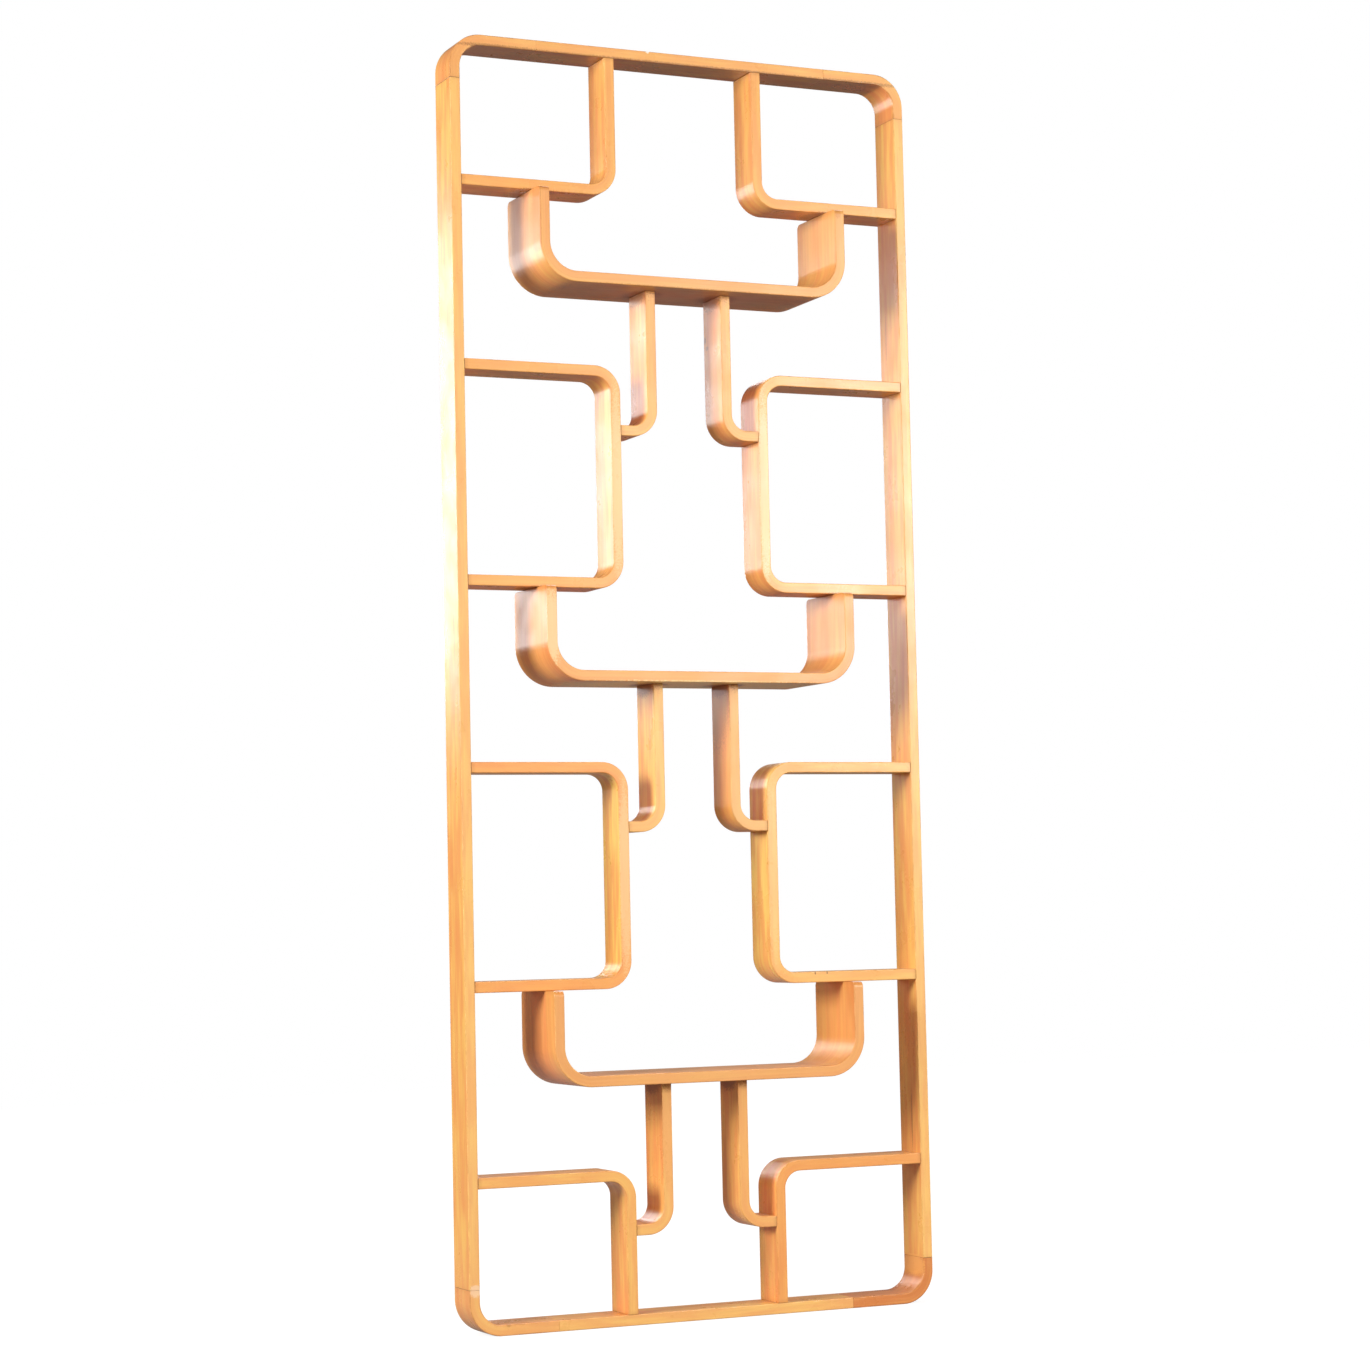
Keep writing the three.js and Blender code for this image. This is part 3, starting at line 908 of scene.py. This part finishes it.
hooks = {
    "routes": {f"hook_{level}_{side}": route for level in ("upper", "middle", "lower")
               for side, route in (("right", "tl bl br"), ("left", "bl br tr"))},
    "bend": 45.5 * millimetre,
    "slot": "hook_wood",
    "firstSeed": 61.0,
    "look": {
        "coatRough": 0.33,
        "marks": [
            # a bruise on the upper right hook's left face
            ((hookInner, 0.0295, 1.660), (0.002, 0.004, 0.008), (0.30, 0.13, 0.06), 0.7),
            ((hookInner, 0.0220, 1.645), (0.002, 0.006, 0.005), (0.40, 0.18, 0.08), 0.5),
            # painted shade around the hooks' tops
            *paintedHookShade(0.025),
        ],
    },
    "looks": {
        "hook_middle_left": {"pale": (0.93, 0.53, 0.14), "deep": (0.85, 0.43, 0.10)},
        "hook_middle_right": {
            "pale": (0.78, 0.31, 0.07),
            "deep": (0.68, 0.23, 0.045),
            "edgeShare": 0.6,
            "coat": 0.03,
            "rough": 0.38,
            # painted shade makes its left face brown near the top
            "marks": [((hookInner, 0.01, 1.03), (0.003, 0.05, 0.09), (0.32, 0.12, 0.035), 0.45),
                      # painted shade around the hooks' tops
                      *paintedHookShade(0.025)],
        },
        "hook_lower_right": {"pale": (0.95, 0.52, 0.13), "deep": (0.87, 0.42, 0.10),
                             "edgeShare": 0.6, "edgeTone": (0.84, 0.40, 0.14)},
    },
}


# All pieces of a kind share one material, but for those with a look of their own
def makeStrips(kind, group):
    materials = {}
    for count, (node, route) in enumerate(group["routes"].items()):
        corners = routePoints(node, route)
        if group.get("hasTongues"):
            corners = trimToJoints(corners)
        low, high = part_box(node)
        depth = high.y - low.y
        own = group.get("looks", {}).get(node)
        title = f"{node}Lacquer" if own else f"{kind}Lacquer"
        if title not in materials:
            look = {**baseLook, **group["look"], **(own or {})}
            materials[title] = lacqueredWood(title, look, depth / 2, stock / 2)
        strip = bentStrip(f"{node}_strip", corners, group["bend"], depth, group["firstSeed"] + count,
                          group.get("armRounding", 0.0), group.get("faintEnds", {}).get(node))
        strip.data.materials.append(materials[title])
        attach(strip, "root")
        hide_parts(node)
    print(f"{kind}: {len(group['routes'])} strips")


# Dowels keep their CAD shape and get bare, finely grained wood

dowelLook = {
    "pale": (0.66, 0.46, 0.27),
    "deep": (0.45, 0.27, 0.13),
    "glue": (0.30, 0.19, 0.09),
    "smudges": 0.4,
    "lineWidth": 1.1 * millimetre,
    "lineLength": 0.012,
    "smooth": 0.62,         # roughness between the fibres, and on them
    "rough": 0.8,
    "relief": 0.4,
    "grainSeed": 4.0,
    "filmSeed": 9.0,
}


def bareDowelWood():
    material, tree, shader, point = newMaterial("bareDowelWood")
    grain = useGroup(tree, grainGroup, Place=point, Seed=dowelLook["grainSeed"],
                     LineWidth=dowelLook["lineWidth"], LineLength=dowelLook["lineLength"])["Grain"]
    film = useGroup(tree, lacquerGroup, Point=point, Seed=dowelLook["filmSeed"])
    colour = blendColour(tree, grain, opaque(dowelLook["pale"]), opaque(dowelLook["deep"]))
    colour = layColours(tree, colour, [(film["Smudge"], dowelLook["smudges"], dowelLook["glue"])])
    feed(tree, shader.inputs["Base Color"], colour)
    rough = remap(tree, grain, 0.0, 1.0, dowelLook["smooth"], dowelLook["rough"])
    feed(tree, shader.inputs["Roughness"], rough)
    addRelief(tree, shader, grain, dowelLook["relief"])
    return material


def dressDowels():
    material = bareDowelWood()
    dowels = [node for name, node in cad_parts.items() if name.startswith("dowel_")]
    for dowel in dowels:
        dowel.data.materials.clear()
        dowel.data.materials.append(material)
    print(f"dowels: {len(dowels)}")


# Floor and room

stageSetup = {
    "floorSize": 14.0,
    "nearColour": (0.24, 0.235, 0.23),   # the floor by the object, and far from it
    "farColour": (0.06, 0.06, 0.06),
    "nearGlow": 0.84,        # share of the white that the camera sees without a lamp, near the object
    "nearReach": 1.1,        # near turns to far between these distances from the middle
    "farReach": 2.6,
    "speckle": 0.06,         # share of the speckles' colour in the floor, at most
    "speckleColour": (0.5, 0.5, 0.5),
    "speckleDetail": 3,
    "floorRough": 0.9,
    "floorSpecular": 0.1,
    "white": (1.0, 1.0, 1.0),
    "roomFill": 0.06,        # light that the room sends to the wood
    "glossShare": 0.16,      # share of the white that the lacquer mirrors
}


# How much of the white a ray sees without a lamp: all of it from the camera, some in the lacquer
def whiteSeen(tree):
    path = addNode(tree, "ShaderNodeLightPath").outputs
    seen = calc(tree, "MAXIMUM", path["Is Camera Ray"], path["Is Transmission Ray"])
    mirrored = calc(tree, "MULTIPLY", path["Is Glossy Ray"], stageSetup["glossShare"])
    return calc(tree, "MAXIMUM", seen, mirrored)


def paleFloor():
    material, tree, shader, point = newMaterial("paleFloor")
    fromMiddle = calcVector(tree, "LENGTH", point)
    away = remap(tree, fromMiddle, stageSetup["nearReach"], stageSetup["farReach"])
    tint = blendColour(tree, away, opaque(stageSetup["nearColour"]), opaque(stageSetup["farColour"]))
    grey = noise(tree, point, detail=stageSetup["speckleDetail"])
    colour = layColours(tree, tint, [(grey, stageSetup["speckle"], stageSetup["speckleColour"])])
    feed(tree, shader.inputs["Base Color"], colour)
    shader.inputs["Roughness"].default_value = stageSetup["floorRough"]
    shader.inputs["Specular IOR Level"].default_value = stageSetup["floorSpecular"]
    # near the object the lamps give the rest of the white, so that its shadow shows
    level = calc(tree, "MULTIPLY_ADD", away, 1.0 - stageSetup["nearGlow"], stageSetup["nearGlow"])
    shader.inputs["Emission Color"].default_value = opaque(stageSetup["white"])
    feed(tree, shader.inputs["Emission Strength"], calc(tree, "MULTIPLY", whiteSeen(tree), level))
    return material


def makeFloor():
    half = stageSetup["floorSize"] / 2
    mesh = bpy.data.meshes.new("studioFloor")
    mesh.from_pydata([(-half, -half, 0), (half, -half, 0), (half, half, 0), (-half, half, 0)], [],
                     [(0, 1, 2, 3)])
    floor = bpy.data.objects.new("studioFloor", mesh)
    scene.collection.objects.link(floor)
    floor.data.materials.append(paleFloor())


def makeWorld():
    world = bpy.data.worlds.new("studio")
    scene.world = world
    world.use_nodes = True
    tree = world.node_tree
    background = tree.nodes["Background"]
    background.inputs["Color"].default_value = opaque(stageSetup["white"])
    feed(tree, background.inputs["Strength"],
         calc(tree, "MAXIMUM", whiteSeen(tree), stageSetup["roomFill"]))


placeCamera()
placeLamps()
makeFloor()
makeWorld()
scene.view_settings.view_transform = "Standard"
print("camera, lamps and floor placed")

makeStrips("stile", stiles)
makeStrips("rail", rails)
makeStrips("corner", cornerPieces)
makeStrips("bracket", brackets)
makeStrips("loop", loops)
makeStrips("tray", trays)
makeStrips("hook", hooks)
dressDowels()
